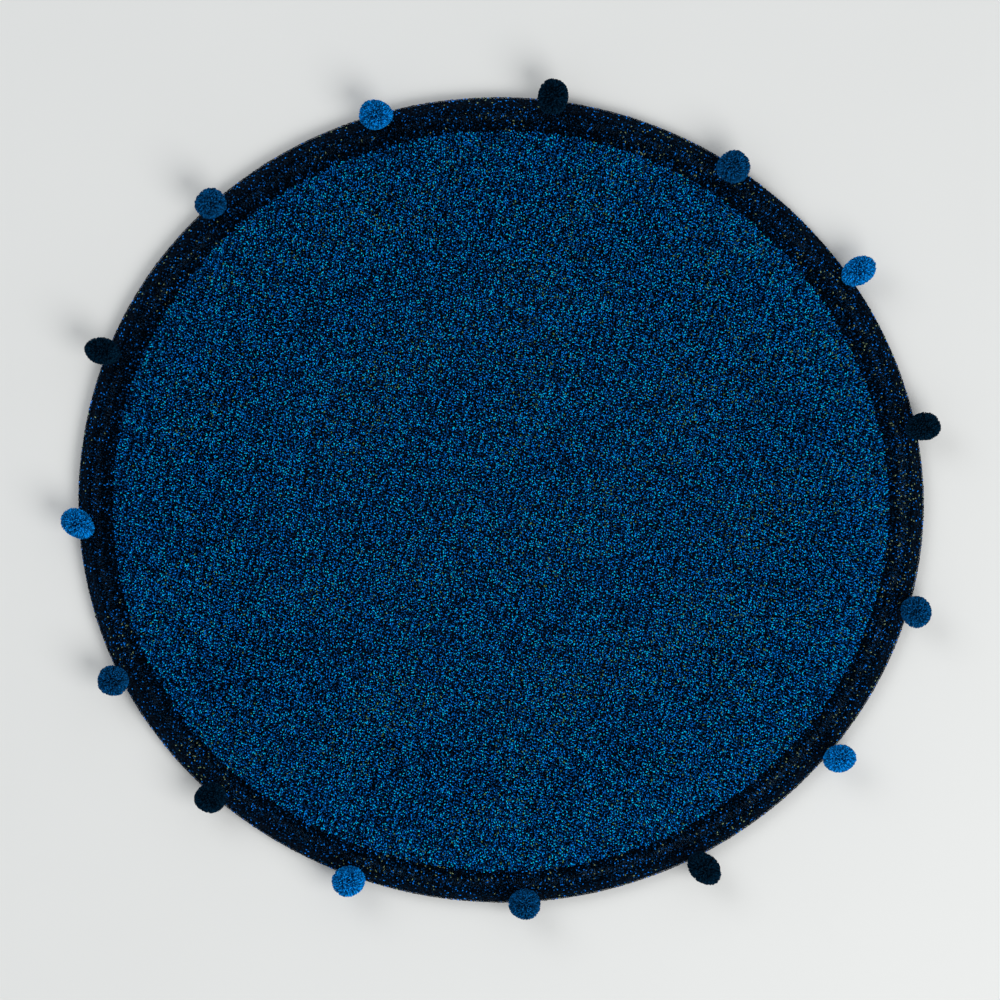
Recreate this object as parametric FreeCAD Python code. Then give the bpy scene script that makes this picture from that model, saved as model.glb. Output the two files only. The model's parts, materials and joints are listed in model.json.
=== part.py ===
import FreeCAD, Part
import math
import os

from FreeCAD import Matrix, Vector

# Slightly oval seat cushion: a deep-pile top with a dark border, pompoms sewn round the edge,
# a zipped underside, and a padded insert inside.
#
# Millimetres. +Z is up, +X is to the sitter's right, -Y is the front edge. The origin is the centre
# of the underside, level with the feet of the non-slip dots. The oval layers are turned as round
# ones and then narrowed along Y, so every radius below is the distance from the centre along X.

# Overall size
WIDTH = 400.0
DEPTH = 381.0
NARROWING = DEPTH / WIDTH
EDGE_RADIUS = WIDTH / 2
CROWN_Z = 27.0

# Sewn rim
RIM_TOP_Z = 6.05
RIM_LIP_RADIUS = 2.0
RIM_INNER_RADIUS = 193.0
PILE_RIM_Z = RIM_TOP_Z - RIM_LIP_RADIUS

# Seam between the field and the border
SEAM_RADIUS = 183.3
PILE_SEAM_GAP = 0.4
CLOTH_SEAM_GAP = 0.9
CLOTH_THICKNESS = 0.6
SEAM_ALLOWANCE_FOOT_Z = 4.2
SEAM_THREAD_Z = 4.8

# Fullness of the crown: a higher power is flatter on top and fuller at the shoulder
CROWN_POWER = 6
CROWN_STATIONS = 9

# Crowned surfaces, each as (radius at its edge, height at its edge, height at the centre)
PILE_TIPS = (RIM_INNER_RADIUS, RIM_TOP_Z, CROWN_Z)
PILE_ROOTS = (192.0, PILE_RIM_Z, 22.5)
CLOTH_FACE = (191.4, 3.1, 22.0)
CLOTH_BACK = (191.0, 2.5, 21.4)
LINER_FACE = (180.0, 5.8, 20.9)
LINER_BACK = (179.5, 5.4, 20.5)
WADDING_FACE = (170.0, 8.4, 20.1)
WADDING_BACK = (169.0, 8.3, 18.1)
FOAM_FACE = (168.0, 8.0, 17.7)

# Insert
LINER_EDGE_RADIUS = 181.5
LINER_BOTTOM_Z = (4.7, 5.1)
WADDING_EDGE_RADIUS = 168.0
WADDING_BOTTOM_Z = (5.5, 7.3)
FOAM_EDGE_RADIUS = 163.0
FOAM_BOTTOM_Z = 7.7

# Underside panels
PANEL_Z = (0.8, 1.6)
PANEL_RIM_Z = (1.6, 2.1)
PANEL_FLAT_RADIUS = 185.0
PANEL_RIM_RADIUS = 190.0
CUT_EDGE_RADIUS = 198.6
PANEL_JOIN_GAP = 0.3

# Binding round the raw edges
BINDING_OUTER_RADIUS = 199.4
BINDING_INNER_RADIUS = 193.5
BINDING_WEB = 0.4
BINDING_LOWER_Z = (0.9, 1.3)
BINDING_UPPER_Z = (3.4, 3.75)

# Sewing thread
THREAD_RADIUS = 0.2
STITCHES_ROUND_EDGE = 150
STITCH_COVER = 0.75
RIM_STITCH_RADIUS = 196.0
OUTSIDE_THREAD_Z = 0.58
HIDDEN_THREAD_Z = 2.1
PANEL_SEAM_REACH = 172
PANEL_SEAM_START = 1

# Zip, which lies along X across the rear third of the underside
ZIP_Y = 60.0
WINDOW_HALF_LENGTH = 125.0
WINDOW_HALF_WIDTH = 4.5
HEM_HALF_WIDTH = 14.0
HEM_TOP_Z = 2.9
TAPE_HALF_LENGTH = 135.0
TAPE_INNER = 0.8
TAPE_OUTER = 12.0
TAPE_Z = (3.2, 3.6)
COIL_HALF_LENGTH = 121.0
COIL_RADIUS = 0.5
COIL_OFFSET = 1.45
COIL_Z = 2.5
STOP_LENGTH = 1.6
STOP_GAP = 0.4
TOPSTITCH_OFFSET = 8.0
TOPSTITCH_HALF_LENGTH = 128.0

# Zip slider and pull tab
SLIDER_X = 117.0
SLIDER_HALF_LENGTH = 4.4
SLIDER_HALF_WIDTH = 3.3
SLIDER_TAIL_HALF_WIDTH = 2.64
SLIDER_CORNER = 1.5
SLIDER_POST_SETBACK = 2.0
EAR_HALF_LENGTH = 0.7
SLIDER_OUTER_PLATE_Z = (1.25, 1.75)
SLIDER_INNER_PLATE_Z = (3.85, 4.35)
SLIDER_WALL_INNER = 2.3
SLIDER_WALL_TOP_Z = 2.95
SLIDER_POST = (1.2, 0.5)
PULL_PIN_Z = 0.68
PULL_PIN_RADIUS = 0.26
PULL_EYE_RADIUS = 0.5
PULL_BORE_RADIUS = 0.34
PULL_NECK_HALF_WIDTH = 1.0
PULL_HALF_WIDTH = 2.4
PULL_LENGTH = 14.0
PULL_NECK_LENGTH = 3.2
PULL_TAB_START = 3.0
PULL_HOLE_RADIUS = 1.1
PULL_THICKNESS = 0.7
EAR_GAP = 0.15
EAR_WIDTH = 0.7
EAR_OVERLAP = 0.1

# Care label, sewn into the panel join beside the zip
LABEL_X = (-160.0, -132.0)
LABEL_LENGTH = 40.0
LABEL_HINGE_Y = ZIP_Y - 0.4
LABEL_HINGE_GAP = 0.5
LABEL_Z = (0.2, 0.6)
LABEL_THREAD_RADIUS = 0.15

# Non-slip dots
DOT_RADIUS = 3.0
DOT_HEIGHT = 0.75
DOT_PITCH = 26.0
DOT_FIELD_RADIUS = 178.0
DOT_ZIP_CLEARANCE = 18.0
DOT_LABEL_CLEARANCE = 4.0

# Pompoms: a yarn ball on a short tie that swings about a stitch at the lip of the rim
BALL_RADIUS = 8.0
BALL_ARM = 8.9
PIVOT_OUT = 0.6
PIVOT_Z = PILE_RIM_Z + RIM_LIP_RADIUS + PIVOT_OUT
TIE_LOOP_RADIUS = 1.15
TIE_LOOP_WIRE = 0.35
TIE_STEM_RADIUS = 0.45
TIE_KNOT_RADIUS = 2.2
BALL_STEM_HOLE = 0.7
BALL_KNOT_HOLE = 2.6
BALL_DIMPLE_RADIUS = 1.9
STITCH_RADIUS = 0.5
STITCH_HALF_LENGTH = 2.5
STITCH_LEG = 1.35
STITCH_LEG_RADIUS = 0.38
STITCH_LEG_INSET = 0.8

# How far a cutting shape passes the faces it cuts
CUT_PAST = 1

# Each pompom as (bearing round the edge from +X in degrees, distance its centre stands outside it)
POMPOMS = (
    (107.9, -0.2),
    (82.5, 1.3),
    (55.0, -1.4),
    (32.5, 3.5),
    (9.8, 2.7),
    (-15.0, 3.8),
    (-37.2, 5.2),
    (-60.9, 6.1),
    (-86.5, 0.5),
    (-111.7, 1.8),
    (-134.2, 0.8),
    (-155.0, 3.2),
    (-176.8, -0.3),
    (159.5, 1.3),
    (134.3, 0.3),
)

Y_AXIS = Vector(0, 1, 0)
Z_AXIS = Vector(0, 0, 1)


# ---------------------------------------------------------------- building blocks

def crown_z(surface, radius):
    """Height of a crowned surface at a radius."""
    edge_radius, edge_z, centre_z = surface
    fall = (radius / edge_radius) ** CROWN_POWER
    return edge_z + (centre_z - edge_z) * (1 - fall)


def crown_point(surface, radius):
    return Vector(radius, 0, crown_z(surface, radius))


def crown_edge(surface, start_radius, end_radius):
    """The curve of a crowned surface between two radii."""
    step = (end_radius - start_radius) / (CROWN_STATIONS - 1)
    radii = [start_radius + step * i for i in range(CROWN_STATIONS)]
    curve = Part.BSplineCurve()
    curve.interpolate([crown_point(surface, r) for r in radii])
    return curve.toShape()


def line(start, end):
    return Part.makeLine(start, end)


def with_true_planes(solid):
    """The same solid, with each of its flat faces laid on a true plane."""
    faces = []
    for face in solid.Faces:
        if face.findPlane():
            u_low, u_high, v_low, v_high = face.ParameterRange
            outward = face.normalAt((u_low + u_high) / 2, (v_low + v_high) / 2)
            face = Part.makeFace(face.Wires, "Part::FaceMakerBullseye").Faces[0]
            if face.normalAt(0, 0).dot(outward) < 0:
                face.reverse()
        faces.append(face)
    return Part.Solid(Part.Shell(faces))


def turned(edges):
    """An oval solid, from a closed half section in the XZ plane."""
    section = Part.Face(Part.Wire(Part.__sortEdges__(edges)))
    solid = section.revolve(Vector(0, 0, 0), Z_AXIS, 360)
    narrow = Matrix()
    narrow.scale(1, NARROWING, 1)
    return with_true_planes(solid.transformGeometry(narrow))


def turned_polygon(corners):
    points = [Vector(r, 0, z) for r, z in corners]
    edges = [line(a, b) for a, b in zip(points, points[1:] + points[:1])]
    return turned(edges)


def box(x, y, z):
    """A box from its (low, high) limits along each axis."""
    corner = Vector(x[0], y[0], z[0])
    return Part.makeBox(x[1] - x[0], y[1] - y[0], z[1] - z[0], corner)


def rod(radius, start, end):
    direction = end.sub(start)
    return Part.makeCylinder(radius, direction.Length, start, direction)


def oval_point(radius, angle, z):
    return Vector(radius * math.cos(angle), NARROWING * radius * math.sin(angle), z)


def oval_stitches(radius, z):
    """Stitches laid end to end round the whole oval, with a short gap between them."""
    pitch = 2 * math.pi / STITCHES_ROUND_EDGE
    stitches = []
    for number in range(STITCHES_ROUND_EDGE):
        start = oval_point(radius, pitch * number, z)
        end = oval_point(radius, pitch * (number + STITCH_COVER), z)
        stitches.append(rod(THREAD_RADIUS, start, end))
    return Part.makeCompound(stitches)


def dome_sheet(face, back, edge_radius):
    """A crowned sheet between two surfaces, with an upright edge."""
    return turned([
        crown_edge(face, 0, edge_radius),
        line(crown_point(face, edge_radius), crown_point(back, edge_radius)),
        crown_edge(back, 0, edge_radius),
        line(crown_point(back, 0), crown_point(face, 0)),
    ])


# ---------------------------------------------------------------- top cover

def field_pile():
    return dome_sheet(PILE_TIPS, PILE_ROOTS, SEAM_RADIUS - PILE_SEAM_GAP / 2)


def border_pile():
    inner = SEAM_RADIUS + PILE_SEAM_GAP / 2
    root_edge = Vector(PILE_ROOTS[0], 0, PILE_RIM_Z)
    tip_edge = Vector(RIM_INNER_RADIUS, 0, RIM_TOP_Z)
    lip_top = Vector(EDGE_RADIUS - RIM_LIP_RADIUS, 0, RIM_TOP_Z)
    lip_side = Vector(EDGE_RADIUS, 0, PILE_RIM_Z)
    diagonal = RIM_LIP_RADIUS * math.sqrt(0.5)
    lip_middle = Vector(lip_top.x + diagonal, 0, PILE_RIM_Z + diagonal)
    return turned([
        crown_edge(PILE_TIPS, inner, RIM_INNER_RADIUS),
        line(tip_edge, lip_top),
        Part.Arc(lip_top, lip_middle, lip_side).toShape(),
        line(lip_side, root_edge),
        crown_edge(PILE_ROOTS, inner, PILE_ROOTS[0]),
        line(crown_point(PILE_ROOTS, inner), crown_point(PILE_TIPS, inner)),
    ])


def field_backing_cloth():
    """Backing of the field, with its seam allowance turned down at the edge."""
    edge = SEAM_RADIUS - CLOTH_SEAM_GAP / 2
    fold = edge - CLOTH_THICKNESS
    foot_outer = Vector(edge, 0, SEAM_ALLOWANCE_FOOT_Z)
    foot_inner = Vector(fold, 0, SEAM_ALLOWANCE_FOOT_Z)
    return turned([
        crown_edge(CLOTH_FACE, 0, edge),
        line(crown_point(CLOTH_FACE, edge), foot_outer),
        line(foot_outer, foot_inner),
        line(foot_inner, crown_point(CLOTH_BACK, fold)),
        crown_edge(CLOTH_BACK, 0, fold),
        line(crown_point(CLOTH_BACK, 0), crown_point(CLOTH_FACE, 0)),
    ])


def border_backing_cloth():
    """Backing of the border, from its turned-down seam allowance out to the rim."""
    edge = SEAM_RADIUS + CLOTH_SEAM_GAP / 2
    fold = edge + CLOTH_THICKNESS
    foot_inner = Vector(edge, 0, SEAM_ALLOWANCE_FOOT_Z)
    foot_outer = Vector(fold, 0, SEAM_ALLOWANCE_FOOT_Z)
    face_edge = crown_point(CLOTH_FACE, CLOTH_FACE[0])
    back_edge = crown_point(CLOTH_BACK, CLOTH_BACK[0])
    face_cut = Vector(CUT_EDGE_RADIUS, 0, face_edge.z)
    back_cut = Vector(CUT_EDGE_RADIUS, 0, back_edge.z)
    return turned([
        crown_edge(CLOTH_FACE, edge, CLOTH_FACE[0]),
        line(face_edge, face_cut),
        line(face_cut, back_cut),
        line(back_cut, back_edge),
        crown_edge(CLOTH_BACK, fold, CLOTH_BACK[0]),
        line(crown_point(CLOTH_BACK, fold), foot_outer),
        line(foot_outer, foot_inner),
        line(foot_inner, crown_point(CLOTH_FACE, edge)),
    ])


def field_seam_thread():
    return oval_stitches(SEAM_RADIUS, SEAM_THREAD_Z)


# ---------------------------------------------------------------- insert

def liner_top():
    """Upper half of the inner case, with the flat flange of its seam."""
    flange_low = Vector(LINER_EDGE_RADIUS, 0, LINER_BACK[1])
    flange_high = Vector(LINER_EDGE_RADIUS, 0, LINER_FACE[1])
    face_edge = crown_point(LINER_FACE, LINER_FACE[0])
    back_edge = crown_point(LINER_BACK, LINER_BACK[0])
    return turned([
        crown_edge(LINER_FACE, 0, LINER_FACE[0]),
        line(face_edge, flange_high),
        line(flange_high, flange_low),
        line(flange_low, back_edge),
        crown_edge(LINER_BACK, 0, LINER_BACK[0]),
        line(crown_point(LINER_BACK, 0), crown_point(LINER_FACE, 0)),
    ])


def flat_oval(edge_radius, z):
    return turned_polygon([(0, z[0]), (edge_radius, z[0]), (edge_radius, z[1]), (0, z[1])])


def liner_bottom():
    return flat_oval(LINER_EDGE_RADIUS, LINER_BOTTOM_Z)


def wadding_top():
    return dome_sheet(WADDING_FACE, WADDING_BACK, WADDING_EDGE_RADIUS)


def wadding_bottom():
    return flat_oval(WADDING_EDGE_RADIUS, WADDING_BOTTOM_Z)


def foam_core():
    foot = Vector(FOAM_EDGE_RADIUS, 0, FOAM_BOTTOM_Z)
    centre = Vector(0, 0, FOAM_BOTTOM_Z)
    return turned([
        crown_edge(FOAM_FACE, 0, FOAM_EDGE_RADIUS),
        line(crown_point(FOAM_FACE, FOAM_EDGE_RADIUS), foot),
        line(foot, centre),
        line(centre, crown_point(FOAM_FACE, 0)),
    ])


# ---------------------------------------------------------------- underside

def bottom_panel(side):
    """One underside panel: side is -1 for the front one and +1 for the rear one."""
    cloth = turned_polygon([
        (0, PANEL_Z[0]),
        (PANEL_FLAT_RADIUS, PANEL_Z[0]),
        (PANEL_RIM_RADIUS, PANEL_RIM_Z[0]),
        (CUT_EDGE_RADIUS, PANEL_RIM_Z[0]),
        (CUT_EDGE_RADIUS, PANEL_RIM_Z[1]),
        (PANEL_RIM_RADIUS, PANEL_RIM_Z[1]),
        (PANEL_FLAT_RADIUS, PANEL_Z[1]),
        (0, PANEL_Z[1]),
    ])
    join = ZIP_Y + side * PANEL_JOIN_GAP / 2
    beyond = side * WIDTH
    cut_z = (-CUT_PAST, HEM_TOP_Z + CUT_PAST)
    half = box((-WIDTH, WIDTH), sorted((join, beyond)), cut_z)
    cloth = cloth.common(half)
    hem_y = sorted((ZIP_Y, ZIP_Y + side * HEM_HALF_WIDTH))
    hem = box((-TOPSTITCH_HALF_LENGTH, TOPSTITCH_HALF_LENGTH), hem_y, (PANEL_Z[0], HEM_TOP_Z))
    hem = hem.common(half)
    window_y = (ZIP_Y - WINDOW_HALF_WIDTH, ZIP_Y + WINDOW_HALF_WIDTH)
    window = box((-WINDOW_HALF_LENGTH, WINDOW_HALF_LENGTH), window_y, cut_z)
    return cloth.fuse(hem).cut(window).removeSplitter()


def panel_seam_thread():
    """The hidden seam that joins the two panels beyond each end of the zip."""
    threads = []
    for side in (-1, 1):
        start = Vector(side * (TAPE_HALF_LENGTH + PANEL_SEAM_START), ZIP_Y, HIDDEN_THREAD_Z)
        end = Vector(side * PANEL_SEAM_REACH, ZIP_Y, HIDDEN_THREAD_Z)
        threads.append(rod(THREAD_RADIUS, start, end))
    return Part.makeCompound(threads)


def rim_binding():
    web = BINDING_OUTER_RADIUS - BINDING_WEB
    return turned_polygon([
        (BINDING_INNER_RADIUS, BINDING_LOWER_Z[0]),
        (BINDING_OUTER_RADIUS, BINDING_LOWER_Z[0]),
        (BINDING_OUTER_RADIUS, BINDING_UPPER_Z[1]),
        (BINDING_INNER_RADIUS, BINDING_UPPER_Z[1]),
        (BINDING_INNER_RADIUS, BINDING_UPPER_Z[0]),
        (web, BINDING_UPPER_Z[0]),
        (web, BINDING_LOWER_Z[1]),
        (BINDING_INNER_RADIUS, BINDING_LOWER_Z[1]),
    ])


def rim_seam_thread():
    return oval_stitches(RIM_STITCH_RADIUS, OUTSIDE_THREAD_Z)


def dot_is_clear(x, y):
    """Whether a dot here stays on the flat of the panels and off the zip and the label."""
    inside = math.hypot(x, y / NARROWING) <= DOT_FIELD_RADIUS
    off_zip = abs(y - ZIP_Y) >= DOT_ZIP_CLEARANCE
    margin = DOT_RADIUS + DOT_LABEL_CLEARANCE
    beside_label = x < LABEL_X[0] - margin or x > LABEL_X[1] + margin
    below_label = y < LABEL_HINGE_Y - LABEL_LENGTH - margin or y > ZIP_Y
    return inside and off_zip and (beside_label or below_label)


def non_slip_dots(side):
    """The dots on one panel, in staggered rows: side is -1 for the front and +1 for the rear."""
    row_pitch = DOT_PITCH * math.sqrt(3) / 2
    count = int(EDGE_RADIUS / row_pitch)
    dots = []
    for row in range(-count, count + 1):
        y = row * row_pitch
        shift = DOT_PITCH / 2 * (row % 2)
        for column in range(-count, count + 1):
            x = column * DOT_PITCH + shift
            if (y - ZIP_Y) * side > 0 and dot_is_clear(x, y):
                dots.append(Part.makeCylinder(DOT_RADIUS, DOT_HEIGHT, Vector(x, y, 0)))
    return Part.makeCompound(dots)


def label_plate():
    """The blank care label, lying flat under the front panel."""
    far_end = LABEL_HINGE_Y - LABEL_HINGE_GAP - LABEL_LENGTH
    return box(LABEL_X, (far_end, LABEL_HINGE_Y - LABEL_HINGE_GAP), LABEL_Z)


def label_stitching():
    z = (LABEL_Z[0] + LABEL_Z[1]) / 2
    start = Vector(LABEL_X[0], LABEL_HINGE_Y, z)
    end = Vector(LABEL_X[1], LABEL_HINGE_Y, z)
    return rod(LABEL_THREAD_RADIUS, start, end)


# ---------------------------------------------------------------- zip

def zip_tape(side):
    y = sorted((ZIP_Y + side * TAPE_INNER, ZIP_Y + side * TAPE_OUTER))
    return box((-TAPE_HALF_LENGTH, TAPE_HALF_LENGTH), y, TAPE_Z)


def zip_coil(side):
    y = ZIP_Y + side * COIL_OFFSET
    start = Vector(-COIL_HALF_LENGTH, y, COIL_Z)
    end = Vector(COIL_HALF_LENGTH, y, COIL_Z)
    return rod(COIL_RADIUS, start, end)


def zip_stops():
    """Two top stops, one on each coil, and one bottom stop across both."""
    z = (COIL_Z - COIL_RADIUS, COIL_Z + COIL_RADIUS)
    near = COIL_HALF_LENGTH + STOP_GAP
    inner = COIL_OFFSET - COIL_RADIUS
    outer = COIL_OFFSET + COIL_RADIUS
    top_x = (near, near + STOP_LENGTH)
    front_stop = box(top_x, (ZIP_Y - outer, ZIP_Y - inner), z)
    rear_stop = box(top_x, (ZIP_Y + inner, ZIP_Y + outer), z)
    bottom_stop = box((-near - STOP_LENGTH, -near), (ZIP_Y - outer, ZIP_Y + outer), z)
    return Part.makeCompound([front_stop, rear_stop, bottom_stop])


def zip_topstitching():
    """A rectangle of thread round the zip opening, on the outside of the panels."""
    x = TOPSTITCH_HALF_LENGTH
    y_gap = 2 * THREAD_RADIUS
    z = OUTSIDE_THREAD_Z
    front = ZIP_Y - TOPSTITCH_OFFSET
    rear = ZIP_Y + TOPSTITCH_OFFSET
    threads = [
        rod(THREAD_RADIUS, Vector(-x, front, z), Vector(x, front, z)),
        rod(THREAD_RADIUS, Vector(-x, rear, z), Vector(x, rear, z)),
        rod(THREAD_RADIUS, Vector(-x, front + y_gap, z), Vector(-x, rear - y_gap, z)),
        rod(THREAD_RADIUS, Vector(x, front + y_gap, z), Vector(x, rear - y_gap, z)),
    ]
    return Part.makeCompound(threads)


def slider_plate(z):
    """One plate of the slider, narrower at the end that faces the closed zip."""
    half = [
        (-SLIDER_HALF_LENGTH, SLIDER_TAIL_HALF_WIDTH),
        (SLIDER_HALF_LENGTH - SLIDER_CORNER, SLIDER_HALF_WIDTH),
        (SLIDER_HALF_LENGTH, SLIDER_HALF_WIDTH - SLIDER_CORNER),
    ]
    corners = half + [(x, -y) for x, y in reversed(half)]
    points = [Vector(SLIDER_X + x, ZIP_Y + y, z[0]) for x, y in corners]
    outline = Part.makePolygon(points + points[:1])
    return Part.Face(outline).extrude(Vector(0, 0, z[1] - z[0]))


def zip_slider():
    """Two plates joined by a post, with side walls that guide the coils and ears for the pull."""
    body = slider_plate(SLIDER_OUTER_PLATE_Z).fuse(slider_plate(SLIDER_INNER_PLATE_Z))
    post_x = SLIDER_X + SLIDER_HALF_LENGTH - SLIDER_POST_SETBACK
    post_y = (ZIP_Y - SLIDER_POST[1], ZIP_Y + SLIDER_POST[1])
    post_z = (SLIDER_OUTER_PLATE_Z[0], SLIDER_INNER_PLATE_Z[1])
    body = body.fuse(box((post_x - SLIDER_POST[0], post_x), post_y, post_z))
    for side in (-1, 1):
        wall_y = sorted((
            ZIP_Y + side * SLIDER_WALL_INNER,
            ZIP_Y + side * SLIDER_TAIL_HALF_WIDTH,
        ))
        wall_x = (SLIDER_X - SLIDER_HALF_LENGTH, post_x)
        body = body.fuse(box(wall_x, wall_y, (SLIDER_OUTER_PLATE_Z[0], SLIDER_WALL_TOP_Z)))
        ear_inner = PULL_NECK_HALF_WIDTH + EAR_GAP
        ear_y = sorted((ZIP_Y + side * ear_inner, ZIP_Y + side * (ear_inner + EAR_WIDTH)))
        ear_z = (PULL_PIN_Z - PULL_EYE_RADIUS, SLIDER_OUTER_PLATE_Z[0] + EAR_OVERLAP)
        ear_x = (SLIDER_X - EAR_HALF_LENGTH, SLIDER_X + EAR_HALF_LENGTH)
        body = body.fuse(box(ear_x, ear_y, ear_z))
    pin_reach = PULL_NECK_HALF_WIDTH + EAR_GAP + EAR_WIDTH / 2
    pin_start = Vector(SLIDER_X, ZIP_Y - pin_reach, PULL_PIN_Z)
    pin_end = Vector(SLIDER_X, ZIP_Y + pin_reach, PULL_PIN_Z)
    return body.fuse(rod(PULL_PIN_RADIUS, pin_start, pin_end)).removeSplitter()


def zip_pull():
    """The pull tab: an eye round the slider's pin, a neck, and a rounded tab with a hole."""
    z = (PULL_PIN_Z - PULL_THICKNESS / 2, PULL_PIN_Z + PULL_THICKNESS / 2)
    neck_y = (ZIP_Y - PULL_NECK_HALF_WIDTH, ZIP_Y + PULL_NECK_HALF_WIDTH)
    eye_start = Vector(SLIDER_X, neck_y[0], PULL_PIN_Z)
    eye_end = Vector(SLIDER_X, neck_y[1], PULL_PIN_Z)
    eye = rod(PULL_EYE_RADIUS, eye_start, eye_end)
    neck = box((SLIDER_X - PULL_NECK_LENGTH, SLIDER_X), neck_y, z)
    round_x = SLIDER_X - PULL_LENGTH + PULL_HALF_WIDTH
    tab_y = (ZIP_Y - PULL_HALF_WIDTH, ZIP_Y + PULL_HALF_WIDTH)
    tab = box((round_x, SLIDER_X - PULL_TAB_START), tab_y, z)
    tip = Part.makeCylinder(PULL_HALF_WIDTH, PULL_THICKNESS, Vector(round_x, ZIP_Y, z[0]))
    hole_start = Vector(round_x, ZIP_Y, z[0] - PULL_THICKNESS / 2)
    hole = Part.makeCylinder(PULL_HOLE_RADIUS, 2 * PULL_THICKNESS, hole_start)
    bore = rod(PULL_BORE_RADIUS, Vector(SLIDER_X, neck_y[0] - CUT_PAST, PULL_PIN_Z),
               Vector(SLIDER_X, neck_y[1] + CUT_PAST, PULL_PIN_Z))
    pull = eye.fuse(neck).fuse(tab).fuse(tip)
    return pull.cut(hole).cut(bore).removeSplitter()


# ---------------------------------------------------------------- pompoms

def pompom_frame(bearing_deg):
    """Pivot point, outward direction and hinge direction of the pompom at a bearing."""
    bearing = math.radians(bearing_deg)
    half_width = WIDTH / 2
    half_depth = DEPTH / 2
    reach = half_width * half_depth / math.hypot(
        half_depth * math.cos(bearing), half_width * math.sin(bearing))
    x = reach * math.cos(bearing)
    y = reach * math.sin(bearing)
    outward = Vector(x / half_width ** 2, y / half_depth ** 2, 0).normalize()
    pivot = Vector(x, y, PIVOT_Z).add(outward * PIVOT_OUT)
    return pivot, outward, Z_AXIS.cross(outward)


def pompom_matrix(bearing_deg, stand_off):
    """Carries a pompom from its own frame, pivot at the origin and ball above, to its place."""
    pivot, outward, hinge = pompom_frame(bearing_deg)
    lean = math.asin((stand_off - PIVOT_OUT) / BALL_ARM)
    up = Z_AXIS * math.cos(lean) + outward * math.sin(lean)
    out = outward * math.cos(lean) - Z_AXIS * math.sin(lean)
    return Matrix(
        out.x, hinge.x, up.x, pivot.x,
        out.y, hinge.y, up.y, pivot.y,
        out.z, hinge.z, up.z, pivot.z,
        0, 0, 0, 1)


def pompom_tie():
    """A thread loop round the stitch, the stem, and the knot that grips the yarn."""
    origin = Vector(0, 0, 0)
    centre = Vector(0, 0, BALL_ARM)
    loop = Part.makeTorus(TIE_LOOP_RADIUS, TIE_LOOP_WIRE, origin, Y_AXIS)
    stem = rod(TIE_STEM_RADIUS, Vector(0, 0, TIE_LOOP_RADIUS), centre)
    knot = Part.makeSphere(TIE_KNOT_RADIUS, centre)
    return loop.fuse(stem).fuse(knot)


def pompom_ball():
    """The ball of yarn, hollowed where its tie runs through it."""
    centre = Vector(0, 0, BALL_ARM)
    ball = Part.makeSphere(BALL_RADIUS, centre)
    ball = ball.cut(rod(BALL_STEM_HOLE, Vector(0, 0, 0), centre))
    ball = ball.cut(Part.makeSphere(BALL_KNOT_HOLE, centre))
    dimple = rod(BALL_DIMPLE_RADIUS, Y_AXIS * -BALL_RADIUS, Y_AXIS * BALL_RADIUS)
    return ball.cut(dimple)


def pompom_anchor_stitches():
    """One stitch per pompom: a bar for the loop, with a leg at each end down to the rim."""
    stitches = []
    for bearing, _ in POMPOMS:
        pivot, outward, hinge = pompom_frame(bearing)
        towards_lip = (outward + Z_AXIS).normalize() * -STITCH_LEG
        start = pivot - hinge * STITCH_HALF_LENGTH
        end = pivot + hinge * STITCH_HALF_LENGTH
        stitch = rod(STITCH_RADIUS, start, end)
        for side in (-1, 1):
            top = pivot + hinge * (side * (STITCH_HALF_LENGTH - STITCH_LEG_INSET))
            stitch = stitch.fuse(rod(STITCH_LEG_RADIUS, top, top + towards_lip))
        stitches.append(stitch)
    return Part.makeCompound(stitches)


# ---------------------------------------------------------------- output

def all_nodes():
    nodes = {
        "field_pile": field_pile(),
        "field_backing_cloth": field_backing_cloth(),
        "border_pile": border_pile(),
        "border_backing_cloth": border_backing_cloth(),
        "field_seam_thread": field_seam_thread(),
        "liner_top": liner_top(),
        "liner_bottom": liner_bottom(),
        "wadding_top": wadding_top(),
        "wadding_bottom": wadding_bottom(),
        "foam_core": foam_core(),
        "bottom_panel_front": bottom_panel(-1),
        "bottom_panel_rear": bottom_panel(1),
        "panel_seam_thread": panel_seam_thread(),
        "rim_binding": rim_binding(),
        "rim_seam_thread": rim_seam_thread(),
        "non_slip_dots_front": non_slip_dots(-1),
        "non_slip_dots_rear": non_slip_dots(1),
        "care_label": label_plate(),
        "label_stitching": label_stitching(),
        "zip_tape_front": zip_tape(-1),
        "zip_tape_rear": zip_tape(1),
        "zip_coil_front": zip_coil(-1),
        "zip_coil_rear": zip_coil(1),
        "zip_stops": zip_stops(),
        "zip_topstitching": zip_topstitching(),
        "zip_slider": zip_slider(),
        "zip_pull": zip_pull(),
        "pompom_anchor_stitches": pompom_anchor_stitches(),
    }
    for number, (bearing, stand_off) in enumerate(POMPOMS, start=1):
        place = pompom_matrix(bearing, stand_off)
        nodes[f"pompom_{number:02d}_ball"] = pompom_ball().transformed(place, True)
        nodes[f"pompom_{number:02d}_tie"] = pompom_tie().transformed(place, True)
    return nodes


def main():
    os.makedirs("parts", exist_ok=True)
    for name, shape in all_nodes().items():
        shape.exportStep(f"parts/{name}.step")
        print(name, len(shape.Solids), round(shape.Volume, 1), shape.isValid())


main()
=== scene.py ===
import json
import math

import bmesh
import bpy
import numpy as np
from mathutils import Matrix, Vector
from mathutils.bvhtree import BVHTree


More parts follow.
